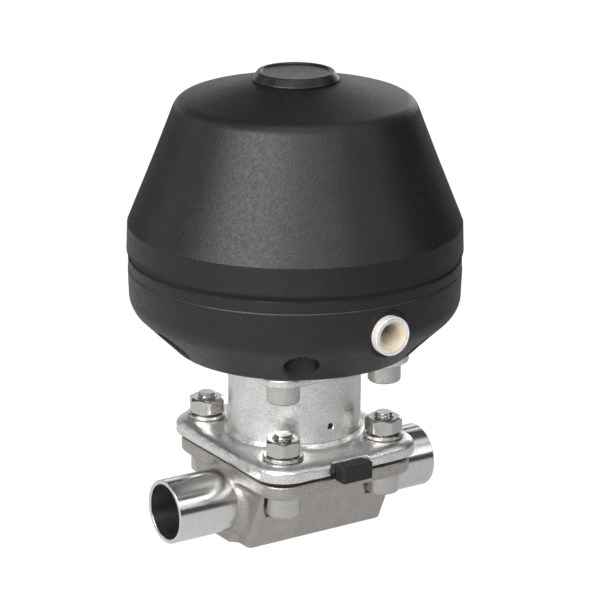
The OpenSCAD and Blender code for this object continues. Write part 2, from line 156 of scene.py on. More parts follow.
def plate(x, y, half_x, half_y, r):
    """A rectangle with round corners, as a flat distance field."""
    u = np.abs(x) - (half_x - r)
    v = np.abs(y) - (half_y - r)
    return np.hypot(np.maximum(u, 0), np.maximum(v, 0)) + np.minimum(np.maximum(u, v), 0) - r


def ball(x, y, z, r):
    return np.sqrt(x * x + y * y + z * z) - r


def slope(u, v, start, end):
    """Distance from the line through two points, positive on its right hand side."""
    du, dv = end[0] - start[0], end[1] - start[1]
    length = math.hypot(du, dv)
    return ((u - start[0]) * dv - (v - start[1]) * du) / length


def bolt_reach(x, y):
    """Distance from the nearest of the four flange screws."""
    return np.hypot(np.abs(x) - BOLT_X, np.abs(y) - BOLT_Y)


def ripple(x, y, z, size):
    """The faint unevenness of a cast or moulded wall, one high at most."""
    k = TURN / size
    waves = np.sin(k * (x + 0.6 * y) + 1.3) * np.sin(k * (0.8 * z - 0.5 * x) + 0.4)
    return 0.5 * (waves + np.sin(k * 1.7 * (y - 0.7 * z) + 2.1) * np.sin(k * 1.3 * (x + z) + 0.2))


CORNERS = np.array([[i, j, k] for i in (0, 1) for j in (0, 1) for k in (0, 1)])
EDGES = [(a, b) for a in range(8) for b in range(a + 1, 8) if bin(a ^ b).count("1") == 1]


def cell_points(value, cells):
    """For each cell that the surface crosses, the mean of where it crosses the cell's edges."""
    at = cells[:, None, :] + CORNERS
    v = value[at[..., 0], at[..., 1], at[..., 2]]
    total = np.zeros((len(cells), 3))
    hits = np.zeros((len(cells), 1))
    for a, b in EDGES:
        crossing = (v[:, a] < 0) != (v[:, b] < 0)
        share = np.where(crossing, v[:, a] / np.where(crossing, v[:, a] - v[:, b], 1), 0)[:, None]
        place = CORNERS[a] + share * (CORNERS[b] - CORNERS[a])
        total += np.where(crossing[:, None], place, 0)
        hits += crossing[:, None]
    return cells + total / hits


def net_quads(inside, index):
    """One quad for each grid edge that the surface crosses, facing outwards."""
    quads = []
    unit = np.eye(3, dtype=int)
    for axis in range(3):
        a, b = (axis + 1) % 3, (axis + 2) % 3
        before, after = [slice(None)] * 3, [slice(None)] * 3
        before[axis], after[axis] = slice(None, -1), slice(1, None)
        at = np.argwhere(inside[tuple(before)] != inside[tuple(after)])
        ring = [(1, 1), (0, 1), (0, 0), (1, 0)]
        quad = np.stack([index[tuple((at - s * unit[a] - t * unit[b]).T)] for s, t in ring], 1)
        inward = ~inside[tuple(at.T)]
        quad[inward] = quad[inward, ::-1]
        quads.append(quad)
    return np.concatenate(quads)


def gradient(field, points, reach):
    """Slope of a field at points, by central differences."""
    steps = np.eye(3) * reach
    rises = [field(*(points + s).T) - field(*(points - s).T) for s in steps]
    return np.stack(rises, 1) / (2 * reach)


def surface_net(field, corner_low, corner_high, step):
    """The zero surface of a field as points, quads and point normals."""
    axes = [np.arange(a - 2 * step, b + 2.5 * step, step) for a, b in zip(corner_low, corner_high)]
    grid = np.meshgrid(*axes, indexing="ij", sparse=True)
    value = np.broadcast_to(field(*grid), [len(a) for a in axes]).astype(np.float32)
    inside = value < 0
    cut = [slice(None, -1), slice(1, None)]
    count = sum(inside[cut[i], cut[j], cut[k]].astype(np.int8) for i, j, k in CORNERS)
    active = (count > 0) & (count < 8)
    cells = np.argwhere(active)
    index = np.full(active.shape, -1)
    index[active] = np.arange(len(cells))
    points = np.array([a[0] for a in axes]) + cell_points(value, cells) * step
    for _ in range(3):
        slope_here = gradient(field, points, 0.08)
        size = np.maximum((slope_here ** 2).sum(1), 0.05)
        move = np.clip(field(*points.T) / size, -step / 2, step / 2)
        points = points - move[:, None] * slope_here
    normals = gradient(field, points, 0.12)
    normals /= np.maximum(np.linalg.norm(normals, axis=1, keepdims=True), 1e-9)
    return points, net_quads(inside, index), normals


# ---- outlines and skins

def rounded(outline):
    """An outline of (u, v, corner radius) with each corner turned into an arc."""
    spots = np.array([p[:2] for p in outline], float)
    result = []
    for i, here in enumerate(spots):
        before, after, r = spots[i - 1], spots[(i + 1) % len(spots)], outline[i][2]
        if r == 0:
            result.append(here)
            continue
        to_before = (before - here) / np.linalg.norm(before - here)
        to_after = (after - here) / np.linalg.norm(after - here)
        half = math.acos(np.clip(to_before @ to_after, -1, 1)) / 2
        middle = (to_before + to_after) / np.linalg.norm(to_before + to_after)
        centre = here + middle * r / math.sin(half)
        first = here + to_before * r / math.tan(half) - centre
        last = here + to_after * r / math.tan(half) - centre
        bend = math.pi - 2 * half
        steps = max(2, math.ceil(bend / ARC_STEP))
        for k in range(steps + 1):
            share = k / steps
            arm = math.sin((1 - share) * bend) * first + math.sin(share * bend) * last
            result.append(centre + arm / math.sin(bend))
    return np.array(result)


def circle(columns):
    return np.arange(columns) * TURN / columns


def hoop(angle, r, z):
    """A ring of points about Z. Its radius and height may differ from point to point."""
    return np.stack([r * np.cos(angle), r * np.sin(angle), z + 0 * angle], -1)


def turned(outline, columns):
    """Rings of points for an outline of (radius, height) turned about Z."""
    return hoop(circle(columns), outline[:, 0, None], outline[:, 1, None])


def skin(rings, loop=False):
    """Points and quads that join each ring to the next. With loop, the last joins the first."""
    count, columns = rings.shape[:2]
    row = np.arange(count if loop else count - 1)[:, None]
    col = np.arange(columns)[None, :]
    here, up = row * columns, (row + 1) % count * columns
    side = (col + 1) % columns
    quads = np.stack(np.broadcast_arrays(here + col, here + side, up + side, up + col), -1)
    return rings.reshape(-1, 3), quads.reshape(-1, 4)


def hexagon(angle, across_flats):
    """Radius of a hexagon with slightly rounded corners at each angle."""
    sharpness = 30
    flats = np.radians(30 + 60 * np.arange(6))[:, None]
    facing = np.maximum(np.cos(angle[None, :] - flats), 0) ** sharpness
    return across_flats / 2 / facing.sum(0) ** (1 / sharpness)


def put_together(parts):
    """Several (points, quads) joined into one."""
    points, quads, start = [], [], 0
    for p, q in parts:
        points.append(p)
        quads.append(q + start)
        start += len(p)
    return np.concatenate(points), np.concatenate(quads)


# ---- pieces

def piece(name, shape, body, material, nodes=(), normals=None, sharp=32):
    """A Blender object from points in millimetres and quads, riding on a CAD body."""
    points, quads = shape
    mesh = bpy.data.meshes.new(name)
    mesh.from_pydata((points * MM).tolist(), [], quads.tolist())
    if normals is None:
        clean = bmesh.new()
        clean.from_mesh(mesh)
        bmesh.ops.remove_doubles(clean, verts=clean.verts, dist=1e-7)
        bmesh.ops.dissolve_degenerate(clean, edges=clean.edges, dist=1e-8)
        bmesh.ops.recalc_face_normals(clean, faces=clean.faces)
        clean.to_mesh(mesh)
        clean.free()
        mesh.shade_smooth()
        mesh.set_sharp_from_angle(angle=math.radians(sharp))
    else:
        mesh.shade_smooth()
        mesh.normals_split_custom_set_from_vertices(normals.tolist())
    made = bpy.data.objects.new(name, mesh)
    bpy.context.scene.collection.objects.link(made)
    if normals is None:
        weighted = made.modifiers.new("flat faces stay flat", "WEIGHTED_NORMAL")
        weighted.keep_sharp = True
    made.data.materials.append(material)
    if body:
        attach(made, body)
    if nodes:
        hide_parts(*nodes)
    return made


def net_piece(name, field, box, step, body, material, nodes):
    points, quads, normals = surface_net(field, box[0], box[1], step)
    return piece(name, (points, quads), body, material, nodes, normals)


# ---- valve body

def flow_way(x, y, z):
    """The bore, its bend and the riser into the bowl, on both sides of the weir."""
    ax = np.abs(x)
    bend_x, riser_top_x = 20.0, 15.0
    lean = (bend_x - riser_top_x) / (FLANGE_FACE_Z - AXIS_H)
    level = np.maximum(np.hypot(y, z - AXIS_H) - BORE_R, bend_x - ax)
    corner = ball(ax - bend_x, y, z - AXIS_H, BORE_R)
    middle_x = bend_x - lean * (z - AXIS_H)
    riser = np.hypot((ax - middle_x) / math.hypot(1, lean), y) - BORE_R
    riser = np.maximum(np.maximum(riser, AXIS_H - z), np.hypot(x, y) - BOWL_MOUTH_R)
    bowl = np.maximum(ball(x, y, z - BOWL_Z, BOWL_R), np.hypot(x, y) - BOWL_MOUTH_R - 1)
    return np.minimum(np.minimum(level, corner), join(riser, bowl, 0.6))


def body_block(x, y, z):
    """The block under the flange, with its slanting sides and its flat foot."""
    foot_half, top_half, half_x = 16.0, 28.8, 31.5
    flange_under = FLANGE_FACE_Z - BODY_FLANGE_T
    side = slope(np.abs(y), z, (foot_half, 0), (top_half, flange_under + 0.5))
    walls = common(side, np.abs(x) - half_x, 2.6)
    return np.maximum(walls, z - flange_under - 1)


def body_neck(x, y, z):
    """The collar that the tube grows from, with the keel below it."""
    around = np.hypot(y, z - AXIS_H) - (TUBE_R + 0.5)
    keel = np.maximum(np.abs(y) - 6.0, z - AXIS_H)
    end = np.abs(x) - COLLAR_END_X
    return common(join(around, keel, 3.0), end, 0.35)


def valve_body_field(x, y, z):
    flange_under = FLANGE_FACE_Z - BODY_FLANGE_T
    outline = plate(x, y, BOLT_X + BODY_CORNER_R, BOLT_Y + BODY_CORNER_R, BODY_CORNER_R)
    flange = common(outline, slab(z, flange_under, FLANGE_FACE_Z), 0.7)
    to_bolt = bolt_reach(x, y)
    pad = common(to_bolt - (HEAD_R + 1.5), slab(z, flange_under - 1.2, FLANGE_FACE_Z - 1), 0.5)
    shape = join(body_block(x, y, z), body_neck(x, y, z), 4.0)
    shape = join(shape, flange, 3.2)
    shape = join(shape, pad, 0.8)
    pocket = np.maximum(to_bolt - (HEAD_R + 0.7), slab(z, AXIS_H - 1, flange_under - 1.2))
    shape = carve(shape, pocket, 0.8)
    shape = carve(shape, to_bolt - SCREW_R - 0.5, 0.3)
    shape = common(shape + 0.05 * ripple(x, y, z, 11), -z, 0.7)
    return carve(np.maximum(shape, z - FLANGE_FACE_Z), flow_way(x, y, z), 0.3)


def valve_body(steel):
    margin = BODY_CORNER_R + 0.5
    box = ((-COLLAR_END_X, -BOLT_Y - margin, 0), (COLLAR_END_X, BOLT_Y + margin, FLANGE_FACE_Z))
    net_piece("valve_body", valve_body_field, box, 0.6, "valve", steel, ["valve_body"])


def tube_end(name, side, steel):
    """A plain welding end with its edges just broken."""
    start, edge = COLLAR_END_X - 0.4, 0.22
    outline = rounded([
        (BORE_R, start, 0), (TUBE_R, start, 0), (TUBE_R, HALF_LEN, edge), (BORE_R, HALF_LEN, edge)])
    rings = turned(outline, 256)
    along = np.stack([side * rings[..., 2], rings[..., 1], rings[..., 0] + AXIS_H], -1)
    piece(name, skin(along, loop=True), "valve", steel)


# ---- distance piece

def bonnet_field(x, y, z):
    half_x, half_y = BOLT_X + BONNET_CORNER_R, BOLT_Y + BONNET_CORNER_R
    outline = plate(x, y, half_x, half_y, BONNET_CORNER_R)
    to_axis = np.hypot(x, y)
    to_bolt = bolt_reach(x, y)
    off_pad = np.clip((to_bolt - 9) / 9, 0, 1)
    dip = 0.9 * off_pad ** 2 * (3 - 2 * off_pad)
    top = z - (BONNET_TOP_Z - 0.12 - dip)
    flange = common(outline * 0.55, top, 2.7)
    flange = common(flange, RIM_TOP_Z - z, 0.5)
    neck = np.maximum(to_axis - NECK_R, slab(z, RIM_TOP_Z + 1, HOUSING_Z))
    foot = common(to_axis - (NECK_R + 0.5), slab(z, RIM_TOP_Z + 1, BONNET_TOP_Z + 0.6), 0.5)
    upper_r = 9.6
    upper = common(plate(x, y, BOLT_X + upper_r, BOLT_Y + upper_r, upper_r),
                   slab(z, HOUSING_Z - 4, HOUSING_Z), 1.3)
    shape = join(join(neck, foot, 0.8), flange, 1.6)
    shape = join(shape, np.maximum(upper, z - HOUSING_Z), 2.0)
    shape = shape + 0.07 * ripple(x, y, z, 13)
    spigot = np.maximum(to_axis - 15, slab(z, HOUSING_Z - 1, high("bonnet", 2)))
    shape = np.minimum(np.maximum(shape, z - HOUSING_Z), spigot)
    return bonnet_holes(shape, x, y, z, to_axis, to_bolt)


def bonnet_holes(shape, x, y, z, to_axis, to_bolt):
    """The stem chamber, the screw holes, the leak hole and the notch for the grip tab."""
    chamber_r, chamber_top, bushing_r, bushing_z = 20.5, 62.0, 9.0, 64.0
    shape = carve(shape, np.maximum(to_axis - chamber_r, z - chamber_top), 0.4)
    shape = carve(shape, to_axis - 6.5, 0.2)
    shape = carve(shape, np.maximum(to_axis - bushing_r, bushing_z - z), 0.2)
    shape = carve(shape, to_bolt - SCREW_R - 0.5, 0.2)
    leak_z, leak_r = 48.6, 1.25
    leak = np.maximum(np.hypot(x, z - leak_z) - leak_r, y + chamber_r / 2)
    shape = carve(shape, leak, 0.35)
    slant = np.clip(-NOTCH_Y - y, 0, 1.4)
    notch = np.maximum(np.abs(x) - NOTCH_HALF - slant, y + NOTCH_Y)
    notch = np.maximum(notch, z - BONNET_TOP_Z - 2)
    return carve(shape, notch, 0.25)


def bonnet(steel):
    half_x, half_y = BOLT_X + BONNET_CORNER_R, BOLT_Y + BONNET_CORNER_R
    box = ((-half_x, -half_y, RIM_TOP_Z), (half_x, half_y, high("bonnet", 2)))
    net_piece("bonnet", bonnet_field, box, 0.62, "valve", steel, ["bonnet"])


# ---- diaphragm with its grip tab

def tab_field(x, y, z):
    """The rubber block that stands in the notch, with a thin lip along its foot."""
    front, back = -low("valve_diaphragm", 1), NOTCH_Y + 0.3
    bottom, top = FLANGE_FACE_Z - 0.4, high("valve_diaphragm", 2)
    middle, half_y = (front + back) / 2, (front - back) / 2
    block = plate(x, y + middle, TAB_HALF, half_y, 1.4)
    block = common(block, slab(z, bottom + 0.1, top), 0.35)
    lip = plate(x, y + middle, TAB_HALF, half_y, 0.9)
    lip = common(lip, slab(z, bottom, bottom + 0.9), 0.3)
    strap = np.maximum(np.abs(x) - TAB_HALF, slab(z, FLANGE_FACE_Z, RIM_TOP_Z))
    strap = np.maximum(strap, slab(y, -back - 0.5, -BOLT_Y))
    return np.minimum(join(block, lip + 0.25, 0.3), strap)


def diaphragm_field(x, y, z):
    rim_r = BODY_CORNER_R - 0.3
    to_axis = np.hypot(x, y)
    outline = plate(x, y, BOLT_X + rim_r, BOLT_Y + rim_r, rim_r)
    rim = common(outline, slab(z, FLANGE_FACE_Z, RIM_TOP_Z), 0.35)
    outer_r, web_t = 19.7, 2.2
    web = np.maximum(ball(x, y, z - BOWL_Z, outer_r), z - RIM_TOP_Z)
    web = np.maximum(web, to_axis - BOWL_MOUTH_R + 0.3)
    shape = np.maximum(np.minimum(rim, web), -ball(x, y, z - BOWL_Z, outer_r - web_t))
    to_bolt = bolt_reach(x, y)
    shape = np.maximum(shape, SCREW_R + 0.5 - to_bolt)
    return np.minimum(shape, tab_field(x, y, z))


def diaphragm(rubber):
    made = net_piece("valve_diaphragm", diaphragm_field, node_box("valve_diaphragm"), 0.5, "",
                     rubber, ["valve_diaphragm"])
    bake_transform(made)


# ---- fasteners

def bolt_places():
    return [(-BOLT_X, -BOLT_Y), (BOLT_X, -BOLT_Y), (BOLT_X, BOLT_Y), (-BOLT_X, BOLT_Y)]


def placed(shape, x, y, turn=0.0):
    points, quads = shape
    c, s = math.cos(math.radians(turn)), math.sin(math.radians(turn))
    moved = points @ np.array([[c, s, 0], [-s, c, 0], [0, 0, 1]])
    return moved + np.array([x, y, 0]), quads


def cap_screw(shank_r, socket_af, head_r, head_low, head_high, tip, pitch=0.0, thread_from=0.0):
    """A smooth-sided cap screw, head down: hexagon socket, rounded head and, where seen, a real thread."""
    angle = circle(72)
    socket = hexagon(angle, socket_af)
    socket_end = head_low + (head_high - head_low) / 2
    mouth_r = socket_af / 2 * 1.22
    rings = [hoop(angle, 0, socket_end + 0.8), hoop(angle, socket * 0.96, socket_end)]
    rings += [hoop(angle, socket, socket_end - 0.2), hoop(angle, socket, head_low + 0.5)]
    edge = rounded([(mouth_r, head_low, 0), (head_r, head_low, 1.2), (head_r, head_high, 0.15),
                    (shank_r, head_high, 0)])
    rings += [hoop(angle, r, z) for r, z in edge]
    if pitch:
        crest_r, thread_depth, point_r = shank_r - 0.12, 0.62, shank_r - 0.95
        for z in np.arange(thread_from, tip - 0.05, pitch / 10):
            phase = (z / pitch - angle / TURN) % 1
            tooth = np.clip(np.abs(2 * phase - 1) * 1.25 - 0.1, 0, 1)
            rings.append(hoop(angle, np.minimum(crest_r - thread_depth * tooth, point_r + tip - z), z))
    else:
        rings.append(hoop(angle, shank_r, tip - 1))
    rings += [hoop(angle, shank_r - 1, tip), hoop(angle, 0, tip)]
    return skin(np.array(rings))


def hex_nut(across_flats, bore_r, bottom, top):
    """A nut chamfered above and below, so that each flat ends in a curve."""
    angle = circle(96)
    outer = hexagon(angle, across_flats)
    face_r = across_flats / 2 * 0.93
    drop = np.maximum(outer - face_r, 0) * math.tan(math.radians(32))
    soft, lead_in = 0.12, 0.7
    levels = [
        (bore_r, bottom + lead_in), (bore_r + lead_in, bottom), (face_r, bottom),
        (outer - soft, bottom + drop), (outer, bottom + drop + soft),
        (outer, top - drop - soft), (outer - soft, top - drop),
        (face_r, top), (bore_r + lead_in, top), (bore_r, top - lead_in)]
    return skin(np.array([hoop(angle, r, z) for r, z in levels]), loop=True)


def washer(inner_r, outer_r, bottom, top):
    outline = rounded([
        (inner_r, bottom, 0.2), (outer_r, bottom, 0.5), (outer_r, top, 0.6), (inner_r, top, 0.25)])
    return skin(turned(outline, 96), loop=True)


def flange_set(i, x, y, steel):
    """One body screw with its nut and washer, standing in a corner of the flanges."""
    head_low, tip = low("body_screws", 2), high("body_screws", 2)
    nut_low, nut_high = low("body_nuts", 2), high("body_nuts", 2)
    screw = cap_screw(SCREW_R, SOCKET_AF, HEAD_R, head_low, head_low + HEAD_H, tip,
                      THREAD_PITCH, nut_high - 1.5)
    piece(f"body_screw_{i + 1}", placed(screw, x, y, 25 * i), "valve", steel,
          ["body_screws"])
    nut = hex_nut(NUT_AF, SCREW_R - 0.4, nut_low, nut_high)
    piece(f"body_nut_{i + 1}", placed(nut, x, y, NUT_TURNS[i]), "valve", steel,
          ["body_nuts"], sharp=24)
    ring = washer(SCREW_R + 0.3, WASHER_R, BONNET_TOP_Z, nut_low)
    piece(f"body_washer_{i + 1}", placed(ring, x, y), "valve", steel, ["body_washers"])


def fasteners(steel):
    head_low, tip = low("actuator_screws", 2), high("actuator_screws", 2)
    upper = cap_screw(SCREW_R, SOCKET_AF, HEAD_R, head_low, HOUSING_Z - 4, tip)
    for i, (x, y) in enumerate(bolt_places()):
        flange_set(i, x, y, steel)
        piece(f"actuator_screw_{i + 1}", placed(upper, x, y, 31 * i), "valve", steel,
              ["actuator_screws"])


def screw_ring():
    angles = [math.radians(FIRST_SCREW_ANGLE + 60 * i) for i in range(6)]
    return [(SCREW_RING_R * math.cos(a), SCREW_RING_R * math.sin(a)) for a in angles]


def housing_screws(steel):
    head_low, tip = low("housing_screws", 2), high("housing_screws", 2)
    shank_r, socket_af, head_r, head_h = 3.0, 5, 5.0, 6
    screw = cap_screw(shank_r, socket_af, head_r, head_low, head_low + head_h, tip)
    for i, (x, y) in enumerate(screw_ring()):
        piece(f"housing_screw_{i + 1}", placed(screw, x, y, 17 * i), "valve", steel,
              ["housing_screws"])


# ---- actuator housings

def lower_shell(z, to_axis):
    """The dish: floor, cone, band and the small rounded edge under the seam."""
    rim_r, cone_top, cone_r, seam_r = 47.4, 93.5, 65.0, 65.5
    cone = slope(to_axis, z, (rim_r, HOUSING_Z), (cone_r, cone_top))
    band = slope(to_axis, z, (cone_r, cone_top), (seam_r, SEAM_Z))
    shape = common(cone, band, 2.5)
    shape = common(shape, HOUSING_Z - z, 0.8)
    return common(shape, z - SEAM_Z, 0.9)


def lower_holes(shape, x, y, z, to_axis):
    """The chamber, the groove between the walls, the sockets of the stem seals and the screw pockets."""
    floor_z, boss_r, boss_z = 80.2, 15.0, 92.0
    boss = np.maximum(to_axis - boss_r, z - boss_z)
    to_bolt = bolt_reach(x, y)
    insert_boss = np.maximum(to_bolt - 8.5, z - 92.5)
    chamber = np.maximum(to_axis - CHAMBER_R, floor_z - z)
    chamber = np.maximum(np.maximum(chamber, -boss), -insert_boss)
    shape = carve(shape, chamber, 0.5)
    to_screw = nearest_screw(x, y)
    groove = np.maximum(slab(to_axis, GROOVE_IN, GROOVE_OUT),
                        slope(to_axis, z, (GROOVE_IN, 87), (GROOVE_OUT, 97)))
    groove = np.maximum(groove, 8.2 - to_screw)
    shape = carve(shape, groove, 0.4)
    pocket = np.maximum(to_screw - 6.6, z - 98)
    shape = carve(shape, pocket, 0.9)
    shape = carve(shape, to_screw - 3.3, 0.2)
    shape = carve(shape, np.maximum(to_bolt - 6, z - 91), 0.2)
    shape = carve(shape, to_axis - 6.5, 0.2)
    shape = carve(shape, np.maximum(to_axis - 15.1, z - HOUSING_Z - 3.3), 0.2)
    return carve(shape, np.maximum(to_axis - 9.6, 88.5 - z), 0.2)


def nearest_screw(x, y):
    """Distance from the nearest screw of the housing ring, by folding the plane onto one sector."""
    sector = math.radians(60)
    angle = np.arctan2(y, x) - math.radians(FIRST_SCREW_ANGLE)
    folded = (angle + sector / 2) % sector - sector / 2
    reach = np.hypot(x, y)
    return np.hypot(reach * np.cos(folded) - SCREW_RING_R, reach * np.sin(folded))


def lower_housing_field(x, y, z):
    to_axis = np.hypot(x, y)
    shape = lower_shell(z, to_axis)
    to_port = np.hypot(x, z - PORT_Z)
    boss_r, boss_face = 9.5, PORT_FACE - 3.5
    boss = common(to_port - boss_r, -y - boss_face, 0.5)
    boss = np.maximum(boss, y + 45.5)
    shape = join(shape, boss, 1.0)
    shape = shape + 0.05 * ripple(x, y, z, 19)
    shape = carve(shape, np.maximum(to_port - boss_r, y + boss_face), 0.5)
    shape = lower_holes(shape, x, y, z, to_axis)
    shape = carve(shape, np.maximum(to_port - 6.6, y + PORT_END), 0.3)
    return carve(shape, np.maximum(to_port - 3.0, y + 41.5), 0.2)


def lower_housing(plastic):
    net_piece("lower_housing", lower_housing_field, node_box("lower_housing"), 0.92, "valve",
              plastic, ["lower_housing"])


def upper_outline():
    """Section of the upper housing: lip, band, sloping wall, dome, cap bore and the hollow inside."""
    lip_r, lip_top, groove_r = BAND_R - 0.6, SEAM_Z + 4.1, BAND_R - 1.0
    band_foot, band_top, band_top_r = SEAM_Z + 6.3, 126.3, 65.5
    waist_z, waist_r, shoulder_z, shoulder_r = 152.2, 55.0, 174.7, 46.3
    cap_bore_r, cap_r, ceiling_z = 12.6, 17.0, 177.4
    wall, deck_z, web_z = 4.3, 126.0, 122.0
    bead_in, bead_out = 47.0, 50.0
    return rounded([
        (GROOVE_OUT, SEAM_Z, 0), (lip_r, SEAM_Z, 0), (lip_r, lip_top, 0.4), (groove_r, lip_top + 0.4, 0.2),
        (groove_r, band_foot - 1.5, 0.3), (BAND_R, band_foot, 1.4),
        (band_top_r, band_top, 0.4), (waist_r, waist_z, 60), (shoulder_r, shoulder_z, 6.5),
        (cap_r + 3, DOME_Z - 0.78, 40), (cap_r, DOME_Z, 0), (cap_bore_r, DOME_Z, 0.4),
        (cap_bore_r, ceiling_z - 4, 0), (cap_r, ceiling_z - 4, 0), (cap_r, ceiling_z, 0),
        (shoulder_r - wall, shoulder_z - wall, 3), (waist_r - wall, waist_z - 1, 0),
        (band_top_r - wall, deck_z, 2), (CHAMBER_R, deck_z, 1), (CHAMBER_R, SEAM_Z + 3.1, 0),
        (bead_in, SEAM_Z + 2, 0), (bead_out, SEAM_Z + 2, 0), (bead_out, SEAM_Z, 0),
        (GROOVE_IN, SEAM_Z, 0), (GROOVE_IN, web_z, 1), (GROOVE_OUT, web_z, 1)])


def upper_housing(plastic):
    """The dome with the ribs that centre its springs and the bosses that hold its inserts."""
    parts = [skin(turned(upper_outline(), 288), loop=True)]
    for inner, outer, bottom, top in ((35.8, 38.0, 168.0, 174.5), (19.0, 21.2, 168.0, 178.6)):
        outline = rounded([(inner, bottom, 0.5), (outer, bottom, 0.5), (outer, top, 0), (inner, top, 0)])
        parts.append(skin(turned(outline, 96), loop=True))
    boss = rounded([(4.5, SEAM_Z + 0.1, 0.2), (8.2, SEAM_Z + 0.1, 0.4), (8.2, 122.5, 0), (4.5, 122.5, 0)])
    for x, y in screw_ring():
        parts.append(placed(skin(turned(boss, 48), loop=True), x, y))
    piece("upper_housing", put_together(parts), "valve", plastic, ["upper_housing"])


def top_cap(plastic):
    """The push-in cap: bevelled edge, thin raised rim and a slightly dished top."""
    top = high("top_cap", 2)
    outline = rounded([
        (0, top - 0.75, 0), (8, top - 0.72, 0), (12.9, top - 0.6, 0.5), (13.5, top, 0.25), (14.7, top, 0.55),
        (17.0, DOME_Z + 0.6, 0.8), (16.8, DOME_Z, 0.1), (12.3, DOME_Z, 0), (12.3, DOME_Z - 2.6, 0),
        (11.0, DOME_Z - 2.6, 0), (11.0, DOME_Z - 4.2, 0), (12.3, DOME_Z - 4.2, 0), (12.3, DOME_Z - 6.4, 0.6),
        (9.0, DOME_Z - 6.4, 0.3), (9.0, DOME_Z + 0.6, 0), (0, DOME_Z + 0.6, 0)])
    piece("top_cap", skin(turned(outline, 160)), "cap", plastic, ["top_cap"])


# ---- air port

def towards_port(rings):
    """Turns rings about Z into rings about the port's axis, with heights as distances along -Y."""
    return np.stack([rings[..., 0], -rings[..., 2], rings[..., 1] + PORT_Z], -1)


def port_insert(pale, tan):
    """The insert: round rim, groove, flat face, chamfer and a real pipe thread down its bore."""
    face, back, neck_r, collar_r, mouth_r = PORT_FACE, PORT_END, 6.6, 7.6, 5.9
    collar_back = face - 2.7
    outer = rounded([
        (4.4, back, 0.2), (neck_r, back, 0.5), (neck_r, collar_back, 0), (collar_r, collar_back, 0.25),
        (collar_r, face, 0.45), (6.95, face, 0.2), (6.75, face - 0.4, 0), (6.5, face - 0.15, 0.1),
        (mouth_r, face - 0.2, 0.2), (4.95, face - 1.3, 0)])
    rings = list(turned(outer, 96))
    angle = circle(96)
    pitch, core, crest = 0.907, 4.3, 4.82
    for depth in np.arange(face - 1.5, back + 0.4, -pitch / 8):
        tooth = np.abs(2 * ((depth / pitch - angle / TURN) % 1) - 1)
        r = core + (crest - core) * np.clip(tooth * 1.3 - 0.15, 0, 1)
        rings.append(hoop(angle, r, depth))
    made = piece("air_port_insert", skin(towards_port(np.array(rings)), loop=True), "valve",
                 tan, ["air_port_insert"], sharp=50)
    # painted highlight: the face and collar of the tan insert get a pale material, while the bore and the
    # back stay tan
    made.data.materials.append(pale)
    for polygon in made.data.polygons:
        x, y, z = polygon.center / MM
        if -y > face - 2.9 and math.hypot(x, z - PORT_Z) > mouth_r:
            polygon.material_index = 1


def port_gasket(tan):
    near, far = -high("air_port_seal", 1), -low("air_port_seal", 1)
    inner_r, outer_r = 6.65, 7.55
    outline = rounded([(inner_r, near, 0), (outer_r, near, 0.2), (outer_r, far, 0.2), (inner_r, far, 0)])
    piece("air_port_seal", skin(towards_port(turned(outline, 96)), loop=True), "valve",
          tan, ["air_port_seal"])


# ---- springs and membrane

def spring(name, mean_r, wire_d, turns, paint):
    """A compression spring with closed, ground ends, swept as a round wire."""
    bottom, top = low(name, 2), high(name, 2)
    per_turn, sides = 48, 16
    steps = int(turns * per_turn)
    t = np.arange(steps + 1) / steps
    closed = 1 / turns
    pitch = wire_d * 1.02
    low_z, high_z = bottom + wire_d / 2, top - wire_d / 2
    z = np.interp(t, [0, closed, 1 - closed, 1], [low_z, low_z + pitch, high_z - pitch, high_z])
    kernel = np.hanning(per_turn // 3)
    pad = len(kernel)
    z = np.convolve(np.pad(z, pad, mode="edge"), kernel / kernel.sum(), "same")[pad:-pad]
    angle = t * turns * TURN
    around = circle(sides)
    r = mean_r + wire_d / 2 * np.cos(around)[None, :]
    height = np.clip(z[:, None] + wire_d / 2 * np.sin(around)[None, :], bottom + 0.02, top - 0.02)
    rings = np.stack([r * np.cos(angle)[:, None], r * np.sin(angle)[:, None], height], -1)
    ends = [np.repeat(ring.mean(0)[None], sides, 0) for ring in (rings[0], rings[-1])]
    rings = np.concatenate([ends[0][None], rings, ends[1][None]])
    made = piece(name, skin(rings), "valve", paint, [name])
    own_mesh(made)


def membrane(rubber):
    """The rolling membrane: clamped bead, one soft convolution and a flat middle between the plates."""
    flat_low, flat_high, bead_low, bead_high = 102.5, 104.5, SEAM_Z - 2, SEAM_Z + 2
    hole_r, bead_in, bead_out, web_half = 5.05, 47, 50, 0.9
    outline = rounded([
        (hole_r, flat_low, 0), (39.2, flat_low, 3), (44.6, SEAM_Z - 2.4, 3),
        (bead_in, SEAM_Z - web_half, 0.4), (bead_in, bead_low, 0.4), (bead_out, bead_low, 0.6),
        (bead_out, bead_high, 0.6), (bead_in, bead_high, 0.4), (bead_in, SEAM_Z + web_half, 0.4),
        (43.6, SEAM_Z - web_half, 4), (38.6, flat_high, 3), (hole_r, flat_high, 0)])
    made = piece("actuator_membrane", skin(turned(outline, 128), loop=True), "", rubber,
                 ["actuator_membrane"])
    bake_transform(made)


# ---- materials

def map_range(tree, value, start, end, low_value, high_value, kind="LINEAR"):
    """The value from start to end, spread over low to high."""
    made = tree.nodes.new("ShaderNodeMapRange")
    made.interpolation_type = kind
    numbers = {"From Min": start, "From Max": end, "To Min": low_value, "To Max": high_value}
    for key, number in numbers.items():
        made.inputs[key].default_value = number
    tree.links.new(value, made.inputs["Value"])
    return made.outputs["Result"]


